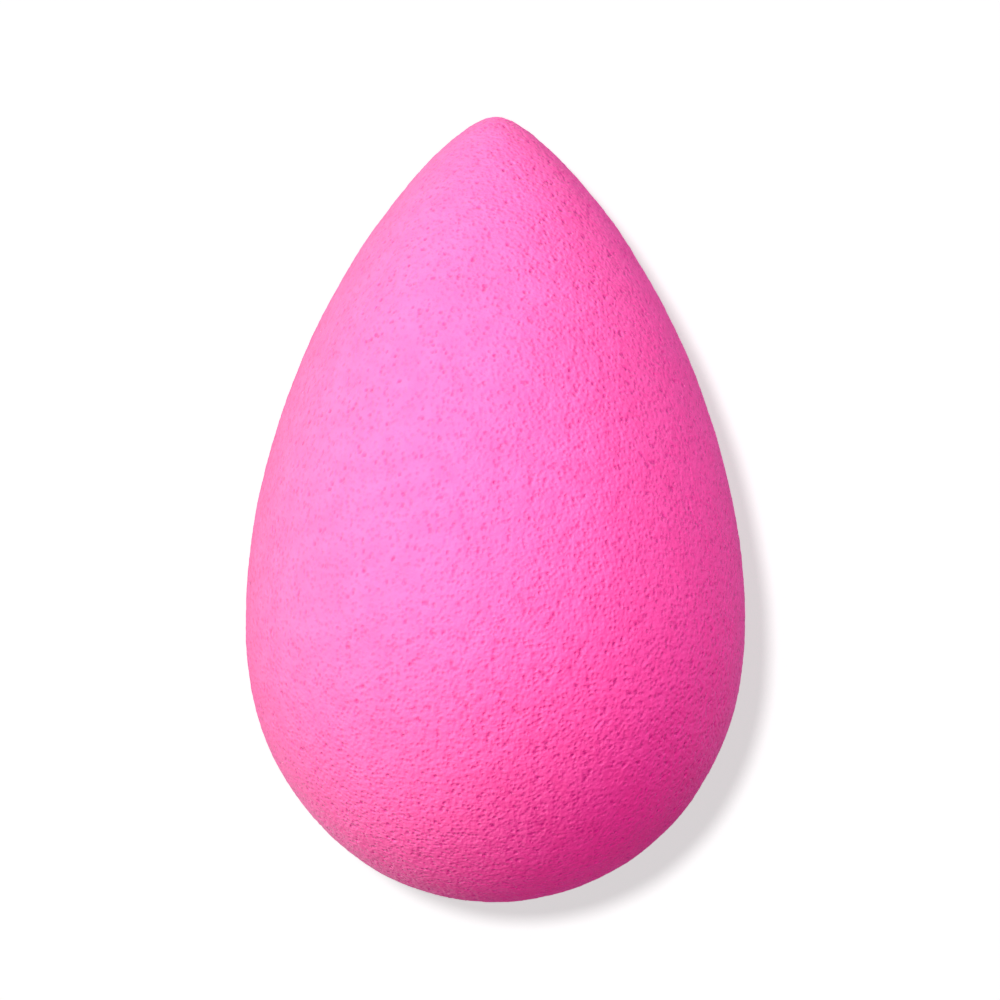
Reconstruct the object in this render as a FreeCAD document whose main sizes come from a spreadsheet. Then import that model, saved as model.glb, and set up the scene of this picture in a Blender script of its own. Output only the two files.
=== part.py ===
"""A teardrop makeup sponge: one solid piece of foam with a round base and a soft point.

Lengths are in millimetres. The teardrop is drawn upright, with its base end at the origin and its tip
up the Z axis. It is then laid on its side as it comes to rest, with its tip towards +Y, +Z up and the
origin on the small flat that it rests on, straight below its centre of mass.
"""
import FreeCAD, Part
import math
import os

import Sketcher

NODE = "sponge_body"
CURVE_DEGREE = 3

# How a sketch numbers its own origin and axes, and the points of each line, curve and circle in it
START, END, CENTRE = range(1, 4)
ACROSS_AXIS, LONG_AXIS = range(-1, -3, -1)
ORIGIN = (ACROSS_AXIS, START)

# Each handle is how far a curve runs on straight before it bends: a longer one makes that place fuller.
SIZES = [
    ("overall_length", 63.7, "from the base end to the tip"),
    ("belly_diameter", 40.0, "across the widest ring"),
    ("belly_height", 22.1, "from the base end to the widest ring"),
    ("base_handle", 10.7, "outwards from the base end, across the axis"),
    ("heel_handle", 13.0, "from the widest ring towards the base"),
    ("flank_handle", 23.1, "from the widest ring towards the tip"),
    ("tip_handle", 4.1, "outwards from the tip, across the axis"),
    ("rest_flat_depth", 0.5, "how far the foam gives under its own weight where it rests"),
]


def make_sheet(doc):
    sheet = doc.addObject("Spreadsheet::Sheet", "sizes")
    for row, (alias, value, meaning) in enumerate(SIZES, start=1):
        sheet.set(f"A{row}", str(value))
        sheet.setAlias(f"A{row}", alias)
        sheet.set(f"B{row}", meaning)
    doc.recompute()
    return sheet


def new_sketch(body, name, plane_role):
    sketch = body.newObject("Sketcher::SketchObject", name)
    plane = next(item for item in body.Origin.OriginFeatures if item.Role == plane_role)
    sketch.AttachmentSupport = (plane, [""])
    sketch.MapMode = "FlatFace"
    return sketch


def relate(sketch, kind, *places):
    sketch.addConstraint(Sketcher.Constraint(kind, *places))


def measure(sketch, name, kind, places, formula):
    """Add a named dimension and bind it to the sheet."""
    value = sketch.evalExpression(formula)
    number = sketch.addConstraint(Sketcher.Constraint(kind, *places, value))
    sketch.renameConstraint(number, name)
    sketch.setExpression(f"Constraints.{name}", formula)


def add_curve(sketch, poles):
    """Draw one smooth curve through its control poles; return the curve and the centre of each pole."""
    upright = FreeCAD.Vector(0, 0, 1)
    circles = [sketch.addGeometry(Part.Circle(pole, upright, 1.0), True) for pole in poles]
    relate(sketch, "Weight", circles[0], 1.0)
    for circle in circles[1:]:
        relate(sketch, "Equal", circles[0], circle)
    curve = sketch.addGeometry(Part.BSplineCurve(poles, None, None, False, CURVE_DEGREE, None, False))
    for index, circle in enumerate(circles):
        relate(sketch, "InternalAlignment:Sketcher::BSplineControlPoint", circle, CENTRE, curve, index)
    return curve, [(circle, CENTRE) for circle in circles]


def draw_profile(body, sheet):
    """Half of the teardrop's outline: the heel from the base to the belly, then the flank up to the tip."""
    sketch = new_sketch(body, "HalfOutline", "XZ_Plane")
    radius = sheet.belly_diameter / 2
    belly = sheet.belly_height
    base_end = FreeCAD.Vector(0, 0, 0)
    belly_ring = FreeCAD.Vector(radius, belly, 0)
    tip_end = FreeCAD.Vector(0, sheet.overall_length, 0)
    heel_poles = [base_end, FreeCAD.Vector(sheet.base_handle, 0, 0),
                  FreeCAD.Vector(radius, belly - sheet.heel_handle, 0), belly_ring]
    flank_poles = [belly_ring, FreeCAD.Vector(radius, belly + sheet.flank_handle, 0),
                   FreeCAD.Vector(sheet.tip_handle, sheet.overall_length, 0), tip_end]

    heel, (base, base_pull, heel_pull, heel_top) = add_curve(sketch, heel_poles)
    flank, (flank_foot, flank_pull, tip_pull, tip) = add_curve(sketch, flank_poles)
    axis = sketch.addGeometry(Part.LineSegment(tip_end, base_end))

    relate(sketch, "Coincident", *base, *ORIGIN)
    relate(sketch, "Coincident", *flank_foot, *heel_top)
    relate(sketch, "PointOnObject", *tip, LONG_AXIS)
    relate(sketch, "Coincident", axis, START, *tip)
    relate(sketch, "Coincident", axis, END, *base)
    relate(sketch, "Horizontal", *base, *base_pull)
    relate(sketch, "Vertical", *heel_pull, *heel_top)
    relate(sketch, "Vertical", *flank_foot, *flank_pull)
    relate(sketch, "Horizontal", *tip, *tip_pull)

    measure(sketch, "belly_radius", "DistanceX", (*ORIGIN, *heel_top), "sizes.belly_diameter / 2")
    measure(sketch, "belly_height", "DistanceY", (*ORIGIN, *heel_top), "sizes.belly_height")
    measure(sketch, "tip_height", "DistanceY", (*ORIGIN, *tip), "sizes.overall_length")
    measure(sketch, "base_handle", "DistanceX", (*base, *base_pull), "sizes.base_handle")
    measure(sketch, "heel_handle", "DistanceY", (*heel_pull, *heel_top), "sizes.heel_handle")
    measure(sketch, "flank_handle", "DistanceY", (*flank_foot, *flank_pull), "sizes.flank_handle")
    measure(sketch, "tip_handle", "DistanceX", (*tip, *tip_pull), "sizes.tip_handle")
    return sketch, (heel, flank)


def revolve_outline(body, sketch):
    teardrop = body.newObject("PartDesign::Revolution", "Teardrop")
    teardrop.Profile = sketch
    teardrop.ReferenceAxis = (sketch, ["V_Axis"])
    teardrop.Angle = 360.0
    return teardrop


def find_rest(teardrop, sketch, curves):
    """Where the teardrop touches a table: the point of its side that lies nearest to its centre of mass.

    The point is given as distance from the axis and height above the base end, with the lean of the
    line from the centre of mass to it, in radians up from square to the axis.
    """
    centre = FreeCAD.Vector(0, teardrop.Shape.Solids[0].CenterOfMass.z, 0)
    outlines = [sketch.Geometry[curve] for curve in curves]
    nearest = [outline.value(outline.parameter(centre)) for outline in outlines]
    touch = min(nearest, key=centre.distanceToPoint)
    lean = math.atan2(touch.y - centre.y, touch.x)
    return touch, lean


def cut_rest_flat(body, sheet, touch, lean):
    """Take a thin cap off the side, level where the foam is pressed flat; its sketch starts at the touch."""
    sketch = new_sketch(body, "RestFlatOutline", "YZ_Plane")
    turn = FreeCAD.Rotation(FreeCAD.Vector(0, 0, 1), math.degrees(lean))
    sketch.AttachmentOffset = FreeCAD.Placement(touch, turn)
    depth = sheet.rest_flat_depth
    reach = sheet.belly_diameter
    side = sheet.overall_length / 2
    corners = [FreeCAD.Vector(-depth, -side, 0), FreeCAD.Vector(reach, -side, 0),
               FreeCAD.Vector(reach, side, 0), FreeCAD.Vector(-depth, side, 0)]
    lower, outer, upper, flat = [
        sketch.addGeometry(Part.LineSegment(corner, corners[(index + 1) % 4]))
        for index, corner in enumerate(corners)]
    for line, following in ((lower, outer), (outer, upper), (upper, flat), (flat, lower)):
        relate(sketch, "Coincident", line, END, following, START)
    relate(sketch, "Horizontal", lower)
    relate(sketch, "Horizontal", upper)
    relate(sketch, "Vertical", outer)
    relate(sketch, "Symmetric", flat, START, flat, END, ACROSS_AXIS)
    measure(sketch, "flat_depth", "DistanceX", (flat, END, *ORIGIN), "sizes.rest_flat_depth")
    measure(sketch, "outward_reach", "DistanceX", (*ORIGIN, lower, END), "sizes.belly_diameter")
    measure(sketch, "side_reach", "DistanceY", (outer, START, outer, END), "sizes.overall_length")

    pocket = body.newObject("PartDesign::Pocket", "RestFlat")
    pocket.Profile = sketch
    pocket.SideType = "Symmetric"
    pocket.setExpression("Length", "sizes.belly_diameter")
    return pocket


def lay_down(body, sheet, touch, lean):
    """Turn the teardrop onto its flat, nose down by its lean, with the flat at the origin facing down."""
    flat_distance = FreeCAD.Vector(math.cos(lean), math.sin(lean), 0) * sheet.rest_flat_depth
    foot = touch - flat_distance
    turn = FreeCAD.Rotation(FreeCAD.Vector(1, 0, 0), -90.0 - math.degrees(lean))
    move = turn.multVec(FreeCAD.Vector(0, foot.x, foot.y)) * -1
    body.Placement = FreeCAD.Placement(move, turn)


def check(doc, body, teardrop):
    failed = [item.Name for item in doc.Objects if {"Invalid", "Error"} & set(item.State)]
    if failed:
        raise RuntimeError(f"features failed: {failed}")
    if body.Shape.isNull() or not body.Shape.isValid() or len(body.Shape.Solids) != 1:
        raise RuntimeError("the sponge is not one valid solid")
    if body.Shape.Volume >= teardrop.Shape.Volume:
        raise RuntimeError("the rest flat cut nothing")


def main():
    doc = FreeCAD.newDocument("makeup_sponge")
    sheet = make_sheet(doc)
    body = doc.addObject("PartDesign::Body", "SpongeBody")
    body.Label = NODE
    sketch, curves = draw_profile(body, sheet)
    teardrop = revolve_outline(body, sketch)
    doc.recompute()
    touch, lean = find_rest(teardrop, sketch, curves)
    cut_rest_flat(body, sheet, touch, lean)
    lay_down(body, sheet, touch, lean)
    doc.recompute()
    check(doc, body, teardrop)

    print(f"{NODE}: volume {body.Shape.Volume / 1000:.2f} cm3, nose down by {math.degrees(lean):.2f} degrees")
    os.makedirs("parts", exist_ok=True)
    body.Shape.exportStep(f"parts/{NODE}.step")


main()
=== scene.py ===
"""A teardrop makeup sponge of dyed pink foam, lying on its side on a white table and seen from above."""
import math

import bmesh
import bpy
import numpy as np
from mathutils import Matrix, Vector
from mathutils.kdtree import KDTree


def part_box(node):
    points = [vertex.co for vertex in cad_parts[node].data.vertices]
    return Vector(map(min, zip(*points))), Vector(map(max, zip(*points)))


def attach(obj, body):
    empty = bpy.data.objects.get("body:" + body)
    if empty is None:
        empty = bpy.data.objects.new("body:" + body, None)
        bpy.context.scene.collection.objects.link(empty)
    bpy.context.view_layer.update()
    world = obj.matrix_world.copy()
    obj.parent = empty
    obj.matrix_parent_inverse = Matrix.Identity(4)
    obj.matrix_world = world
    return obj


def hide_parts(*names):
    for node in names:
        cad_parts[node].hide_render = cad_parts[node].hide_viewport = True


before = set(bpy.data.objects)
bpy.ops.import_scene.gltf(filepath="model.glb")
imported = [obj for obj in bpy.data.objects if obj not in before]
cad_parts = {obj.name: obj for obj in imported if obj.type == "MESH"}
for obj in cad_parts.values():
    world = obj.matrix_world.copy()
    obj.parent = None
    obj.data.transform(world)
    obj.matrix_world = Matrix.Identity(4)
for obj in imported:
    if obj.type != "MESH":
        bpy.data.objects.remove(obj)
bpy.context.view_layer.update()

# Lengths are in metres, angles in degrees, and colours are linear red, green and blue.
MM = 0.001
WHITE = (1.0, 1.0, 1.0, 1.0)
CAD_NODE = "sponge_body"

# The block that the sponge is rounded from, and how finely it is divided
BLOCK_ROOM = 1.12
BLOCK_CUTS_ALONG = 2
BLOCK_CUTS_ACROSS = 1
CAGE_LEVELS = 4
SETTLE_ROUNDS = 3
SETTLE_STEPS = 12
SETTLE_PULL = 0.5
FOAM_LEVELS = 3
MAP_GAP = 0.01

# Relief of the cut foam, from large to fine: its name, the width of its bumps and how far they stand out
RELIEF = [
    ("foam_swells", 9.0 * MM, 0.22 * MM),
    ("foam_lumps", 1.2 * MM, 0.06 * MM),
    ("foam_grain", 0.36 * MM, 0.08 * MM),
]
RELIEF_DETAIL = 1
RELIEF_MIDDLE = 0.5

# Open pores: cells of the foam that the cut has opened. The depth is a share of the radius.
PORE_SEED = 11
PORE_COUNT = 9000
PORE_SMALLEST = 0.05 * MM
PORE_LARGEST = 0.2 * MM
PORE_DEPTH = 0.6
PORE_ATTRIBUTE = "pore"

# Colours of the foam, the darker colour painted into pores and dimples as painted shade, and how much of
# that shade shows in a pore and in a dimple
FOAM_PINK = (0.88, 0.18, 0.43, 1.0)
FOAM_PALE = (0.9, 0.2, 0.46, 1.0)
PAINTED_PORE_SHADE = (0.54, 0.11, 0.31, 1.0)
PORE_SHADE_SHARE = 0.9
DIMPLE_SHADE_SHARE = 0.36

# Dimples of the foam's cells: the rim and the floor are places in a cell, out from its middle.
DIMPLES_PER_MM = 2.5
DIMPLE_RIM = 0.6
DIMPLE_FLOOR = 0.1
DIMPLE_SHALLOWEST = 0.4
DIMPLE_SPREAD = 0.6

# Finish of the foam: patches of pale and deep pink, fine grain, and the soft sheen of its fuzz
PATCHES_PER_MM = 0.5
PATCH_DETAIL = 2.0
PATCH_DEEP = 0.3
PATCH_PALE = 0.7
GRAINS_PER_MM = 3.2
GRAIN_DETAIL = 1.0
BUMP_HEIGHT = 0.07 * MM
FOAM_ROUGHNESS = 0.8
GRAIN_ROUGHNESS = 0.2
FOAM_GLOSS = 0.02
FUZZ_WEIGHT = 0.22
FUZZ_ROUGHNESS = 0.3

# The white table, the dim room, and the small lamp nearly overhead that lights the table alone
TABLE_SIZE = 8.0
TABLE_WHITE = (0.8, 0.8, 0.8, 1.0)
TABLE_GLOW = 0.6
TABLE_THROW = (0.6, 0.36, 0.52, 1.0)
ROOM_STRENGTH = 0.07
TABLE_LAMP_STRENGTH = 0.45 * math.pi
TABLE_LAMP_ANGLE = 4
TABLE_LAMP_AZIMUTH = 138
TABLE_LAMP_ELEVATION = 81.5

# Soft lamps that light the sponge alone: name, width, colour, watts, azimuth and elevation
SOFT_LAMPS = [
    ("key_light", 0.4, (0.95, 1.0, 0.87), 3.9, 156, 38),
    ("tip_fill", 0.3, (1.0, 0.56, 0.95), 1.55, 60, 23),
    ("base_fill", 0.3, (1.0, 0.04, 0.6), 1.85, 290, 73),
]
LAMP_DISTANCE = 0.5
BELLY_HEIGHT = 0.02

# The camera hangs over the sponge and looks straight down, with the tip to the top of the picture.
PICTURE_PX = 1000
PX_PER_MM = 12.5
SPONGE_CENTRE_PX = (495.5, 508.2)
EYE_HEIGHT = 1.2
SENSOR_WIDTH_MM = 36.0
NEAREST_SEEN = 0.01

# A Mix node's sockets for colours go by number, because other sockets share their names.
MIX_INPUTS = (0, 6, 7)
MIX_OUTPUT = 2


class Wire:
    """One output in a node tree. Sums on wires and numbers add Math nodes."""

    def __init__(self, tree, socket):
        self.tree = tree
        self.socket = socket

    def maths(self, operation, *terms):
        inputs = dict(enumerate(terms))
        return self.tree.node("ShaderNodeMath", {"operation": operation}, inputs).output(0)

    def __add__(self, other):
        return self.maths("ADD", self, other)

    def __radd__(self, other):
        return self.maths("ADD", other, self)

    def __sub__(self, other):
        return self.maths("SUBTRACT", self, other)

    def __rsub__(self, other):
        return self.maths("SUBTRACT", other, self)

    def __mul__(self, other):
        return self.maths("MULTIPLY", self, other)

    def __rmul__(self, other):
        return self.maths("MULTIPLY", other, self)

    def larger(self, other):
        return self.maths("MAXIMUM", self, other)


class Node:
    """A node that has been added to a tree, with its outputs as wires."""

    def __init__(self, tree, node):
        self.tree = tree
        self.node = node

    def output(self, name):
        return Wire(self.tree, self.node.outputs[name])


class Tree:
    """The nodes of a material or of the world."""

    def __init__(self, owner):
        owner.use_nodes = True
        self.nodes = owner.node_tree.nodes
        self.links = owner.node_tree.links
        self.nodes.clear()

    def node(self, kind, settings=None, inputs=None):
        """Add a node: its settings are set first, and then each input gets a value or a wire."""
        made = self.nodes.new(kind)
        for name, setting in (settings or {}).items():
            setattr(made, name, setting)
        for name, value in (inputs or {}).items():
            if isinstance(value, Wire):
                self.links.new(value.socket, made.inputs[name])
            else:
                made.inputs[name].default_value = value
        return Node(self, made)

    def noise(self, place, scale, detail):
        inputs = {"Vector": place, "Scale": scale, "Detail": detail}
        return self.node("ShaderNodeTexNoise", None, inputs).output("Fac")

    def fade(self, value, low, high):
        """0 at low and 1 at high, with a soft step between; high may be the lower of the two."""
        inputs = {"Value": value, "From Min": low, "From Max": high}
        return self.node("ShaderNodeMapRange", {"interpolation_type": "SMOOTHSTEP"}, inputs).output("Result")

    def blend(self, factor, first, second):
        """A colour between two colours."""
        inputs = dict(zip(MIX_INPUTS, (factor, first, second)))
        return self.node("ShaderNodeMix", {"data_type": "RGBA"}, inputs).output(MIX_OUTPUT)

    def seen_by_eye(self):
        """1 for rays from the camera and for what shines or shows through, and 0 for light on the sponge."""
        path = self.node("ShaderNodeLightPath")
        direct = path.output("Is Camera Ray")
        return direct.larger(path.output("Is Glossy Ray")).larger(path.output("Is Transmission Ray"))


def apply_modifier(piece, kind, **settings):
    modifier = piece.modifiers.new(kind.title(), kind)
    for name, setting in settings.items():
        setattr(modifier, name, setting)
    bpy.context.view_layer.objects.active = piece
    bpy.ops.object.modifier_apply(modifier=modifier.name)


def cut_edges(block, cuts, lengthwise):
    """Subdivide the edges that run lengthwise, or else all those that run across."""
    bpy.ops.mesh.select_all(action="DESELECT")
    shape = bmesh.from_edit_mesh(block.data)
    for edge in shape.edges:
        way = edge.verts[1].co - edge.verts[0].co
        runs_lengthwise = abs(way.y) > max(abs(way.x), abs(way.z))
        edge.select_set(runs_lengthwise == lengthwise)
    bmesh.update_edit_mesh(block.data)
    bpy.ops.mesh.subdivide(number_cuts=cuts)


def make_block():
    """A block a little larger than the sponge, cut in three along and in two across; its edges are seams."""
    low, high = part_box(CAD_NODE)
    bpy.ops.object.select_all(action="DESELECT")
    bpy.ops.mesh.primitive_cube_add(size=1.0, location=(low + high) / 2, scale=(high - low) * BLOCK_ROOM)
    block = bpy.context.object
    block.name = "sponge_foam"
    block.data.name = "sponge_foam"
    bpy.ops.object.transform_apply(location=True, rotation=True, scale=True)
    bpy.ops.object.mode_set(mode="EDIT")
    bpy.ops.mesh.select_all(action="SELECT")
    bpy.ops.mesh.mark_seam()
    cut_edges(block, BLOCK_CUTS_ALONG, lengthwise=True)
    cut_edges(block, BLOCK_CUTS_ACROSS, lengthwise=False)
    bpy.ops.object.mode_set(mode="OBJECT")
    return block


def round_block(block):
    """Round the block and settle it evenly onto the sponge's shape."""
    apply_modifier(block, "SUBSURF", levels=CAGE_LEVELS, render_levels=CAGE_LEVELS)
    apply_modifier(block, "SHRINKWRAP", target=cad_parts[CAD_NODE])
    for _ in range(SETTLE_ROUNDS):
        apply_modifier(block, "SMOOTH", factor=SETTLE_PULL, iterations=SETTLE_STEPS)
        apply_modifier(block, "SHRINKWRAP", target=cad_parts[CAD_NODE])


def lay_out_map(block):
    """Flatten the six sides of the rounded block into a map, for the finish to be kept in."""
    bpy.ops.object.mode_set(mode="EDIT")
    bpy.ops.mesh.select_all(action="SELECT")
    bpy.ops.uv.unwrap(method="ANGLE_BASED", margin=MAP_GAP)
    bpy.ops.object.mode_set(mode="OBJECT")
    block.data.uv_layers.active.name = "OFBake"


def add_relief(foam, name, width, height):
    """Raise and sink the surface by soft random bumps of one width."""
    bumps = bpy.data.textures.new(name, "CLOUDS")
    bumps.noise_scale = width
    bumps.noise_depth = RELIEF_DETAIL
    apply_modifier(foam, "DISPLACE", texture=bumps, texture_coords="LOCAL", strength=height,
                   mid_level=RELIEF_MIDDLE)


def read_vertices(mesh, name):
    values = np.empty(len(mesh.vertices) * 3)
    mesh.vertices.foreach_get(name, values)
    return values.reshape(-1, 3)


def scatter_pores(mesh):
    """A middle and a radius for each pore, spread evenly over the surface; small pores are the commonest."""
    draw = np.random.default_rng(PORE_SEED)
    areas = np.empty(len(mesh.polygons))
    mesh.polygons.foreach_get("area", areas)
    faces = draw.choice(len(areas), PORE_COUNT, p=areas / areas.sum())
    radii = PORE_SMALLEST + (PORE_LARGEST - PORE_SMALLEST) * draw.random(PORE_COUNT) ** 2
    return [(mesh.polygons[face].center, radius) for face, radius in zip(faces.tolist(), radii.tolist())]


def open_pores(foam):
    """Press round pores into the surface, and keep how far into a pore each point lies."""
    mesh = foam.data
    places = read_vertices(mesh, "co")
    outwards = read_vertices(mesh, "normal")
    near = KDTree(len(places))
    for index, place in enumerate(places):
        near.insert(place, index)
    near.balance()

    inside = np.zeros(len(places))
    depth = np.zeros(len(places))
    for middle, radius in scatter_pores(mesh):
        for _, index, distance in near.find_range(middle, radius):
            bowl = math.sqrt(max(0.0, 1 - (distance / radius) ** 2))
            inside[index] = max(inside[index], bowl)
            depth[index] = max(depth[index], bowl * radius * PORE_DEPTH)

    places -= outwards * depth[:, None]
    heights = places[:, 2]
    # The table stops any bump on the side that the sponge rests on.
    np.maximum(heights, 0.0, out=heights)
    mesh.vertices.foreach_set("co", places.ravel())
    # How far into a pore each point lies; the foam's material uses it to paint shade into the pores.
    mesh.attributes.new(PORE_ATTRIBUTE, "FLOAT", "POINT").data.foreach_set("value", inside)
    mesh.update()


def pink_foam():
    """Matte open-cell foam: pink, with shade painted darker into its pores and small cell dimples, and a
    fine grain.
    """
    material = bpy.data.materials.new("pink_foam")
    tree = Tree(material)
    metres = tree.node("ShaderNodeTexCoord").output("Object")
    place = tree.node("ShaderNodeVectorMath", {"operation": "SCALE"}, {0: metres, "Scale": 1 / MM}).output(0)

    pore = tree.node("ShaderNodeAttribute", {"attribute_name": PORE_ATTRIBUTE}).output("Fac")
    cells = tree.node("ShaderNodeTexVoronoi", None, {"Vector": place, "Scale": DIMPLES_PER_MM})
    chance = tree.node("ShaderNodeSeparateColor", None, {"Color": cells.output("Color")}).output("Red")
    bowl = tree.fade(cells.output("Distance"), DIMPLE_RIM, DIMPLE_FLOOR)
    dimple = bowl * (DIMPLE_SHALLOWEST + chance * DIMPLE_SPREAD)
    patches = tree.noise(place, PATCHES_PER_MM, PATCH_DETAIL)
    grain = tree.noise(place, GRAINS_PER_MM, GRAIN_DETAIL)

    skin = tree.blend(tree.fade(patches, PATCH_DEEP, PATCH_PALE), FOAM_PINK, FOAM_PALE)
    # Painted shade: pores and cell dimples are darkened towards a deeper pink, standing in for the shade
    # inside these hollows.
    painted_shade = (pore * PORE_SHADE_SHARE).larger(dimple * DIMPLE_SHADE_SHARE)
    colour = tree.blend(painted_shade, skin, PAINTED_PORE_SHADE)
    bump_inputs = {"Strength": 1.0, "Distance": BUMP_HEIGHT, "Height": grain - dimple}
    bump = tree.node("ShaderNodeBump", None, bump_inputs)

    foam = tree.node("ShaderNodeBsdfPrincipled", None, {
        "Base Color": colour,
        "Roughness": FOAM_ROUGHNESS + grain * GRAIN_ROUGHNESS,
        "Normal": bump.output("Normal"),
        "Specular IOR Level": FOAM_GLOSS,
        "Sheen Weight": FUZZ_WEIGHT,
        "Sheen Roughness": FUZZ_ROUGHNESS,
    })
    tree.node("ShaderNodeOutputMaterial", None, {"Surface": foam.output("BSDF")})
    return material


def make_sponge():
    sponge = make_block()
    round_block(sponge)
    lay_out_map(sponge)
    apply_modifier(sponge, "SUBSURF", levels=FOAM_LEVELS, render_levels=FOAM_LEVELS)
    for name, width, height in RELIEF:
        add_relief(sponge, name, width, height)
    open_pores(sponge)
    bpy.ops.object.select_all(action="DESELECT")
    sponge.select_set(True)
    bpy.context.view_layer.objects.active = sponge
    bpy.ops.object.shade_smooth()
    sponge.data.materials.append(pink_foam())
    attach(sponge, "root")
    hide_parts(CAD_NODE)
    return sponge


def white_table():
    """White in the light and soft grey in the sponge's shadow; the light that it throws back is rosy."""
    material = bpy.data.materials.new("white_table")
    tree = Tree(material)
    lit = tree.node("ShaderNodeBsdfDiffuse", None, {"Color": TABLE_WHITE}).output("BSDF")
    glow = tree.node("ShaderNodeEmission", None, {"Color": WHITE, "Strength": TABLE_GLOW}).output("Emission")
    seen = tree.node("ShaderNodeAddShader", None, {0: lit, 1: glow}).output(0)
    thrown = tree.node("ShaderNodeBsdfDiffuse", None, {"Color": TABLE_THROW}).output("BSDF")
    surface = tree.node("ShaderNodeMixShader", None, {0: tree.seen_by_eye(), 1: thrown, 2: seen})
    tree.node("ShaderNodeOutputMaterial", None, {"Surface": surface.output(0)})
    return material


def make_table():
    bpy.ops.object.select_all(action="DESELECT")
    bpy.ops.mesh.primitive_plane_add(size=TABLE_SIZE, location=(0, 0, 0))
    table = bpy.context.object
    table.name = "table"
    table.data.materials.append(white_table())
    return table


def aim(piece, place, target):
    piece.location = place
    piece.rotation_euler = (Vector(target) - Vector(place)).to_track_quat("-Z", "Y").to_euler()


def from_angles(azimuth, elevation, distance):
    """A place at a distance from the origin: azimuth from +X towards +Y, elevation above the table."""
    flat = math.cos(math.radians(elevation)) * distance
    across = flat * math.cos(math.radians(azimuth))
    along = flat * math.sin(math.radians(azimuth))
    return Vector((across, along, math.sin(math.radians(elevation)) * distance))


def add_lamp(name, kind, lit_piece):
    """A lamp that lights one piece alone."""
    receivers = bpy.data.collections.new(name)
    receivers.objects.link(lit_piece)
    bpy.ops.object.light_add(type=kind)
    lamp = bpy.context.object
    lamp.name = name
    lamp.light_linking.receiver_collection = receivers
    return lamp


def add_soft_lamp(sponge, name, width, colour, watts, azimuth, elevation):
    """A round soft lamp on the sponge, aimed at its belly."""
    lamp = add_lamp(name, "AREA", sponge)
    lamp.data.shape = "DISK"
    lamp.data.size = width
    lamp.data.color = colour
    lamp.data.energy = watts
    belly = Vector((0, 0, BELLY_HEIGHT))
    aim(lamp, belly + from_angles(azimuth, elevation, LAMP_DISTANCE), belly)


def add_table_lamp(table):
    """A small lamp nearly overhead that lights the table past the sponge, for its short shadow."""
    lamp = add_lamp("table_light", "SUN", table)
    lamp.data.energy = TABLE_LAMP_STRENGTH
    lamp.data.angle = math.radians(TABLE_LAMP_ANGLE)
    aim(lamp, from_angles(TABLE_LAMP_AZIMUTH, TABLE_LAMP_ELEVATION, LAMP_DISTANCE), (0, 0, 0))


def light_room():
    """A dim room that the camera sees as white."""
    world = bpy.data.worlds.new("room")
    bpy.context.scene.world = world
    tree = Tree(world)
    seen = tree.seen_by_eye()
    strength = ROOM_STRENGTH + seen * (1 - ROOM_STRENGTH)
    room = tree.node("ShaderNodeBackground", None, {"Color": WHITE, "Strength": strength})
    tree.node("ShaderNodeOutputWorld", None, {"Surface": room.output("Background")})


def place_camera():
    low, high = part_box(CAD_NODE)
    middle = (low + high) / 2
    right = (PICTURE_PX / 2 - SPONGE_CENTRE_PX[0]) / PX_PER_MM * MM
    up = (SPONGE_CENTRE_PX[1] - PICTURE_PX / 2) / PX_PER_MM * MM
    bpy.ops.object.camera_add(location=(middle.x + right, middle.y + up, EYE_HEIGHT), rotation=(0, 0, 0))
    camera = bpy.context.object
    view_width = PICTURE_PX / PX_PER_MM * MM
    camera.data.sensor_width = SENSOR_WIDTH_MM
    camera.data.lens = SENSOR_WIDTH_MM * (EYE_HEIGHT - BELLY_HEIGHT) / view_width
    camera.data.clip_start = NEAREST_SEEN
    bpy.context.scene.camera = camera


bpy.context.scene.view_settings.view_transform = "Standard"
place_camera()
foam_sponge = make_sponge()
white_top = make_table()
for soft_lamp in SOFT_LAMPS:
    add_soft_lamp(foam_sponge, *soft_lamp)
add_table_lamp(white_top)
light_room()
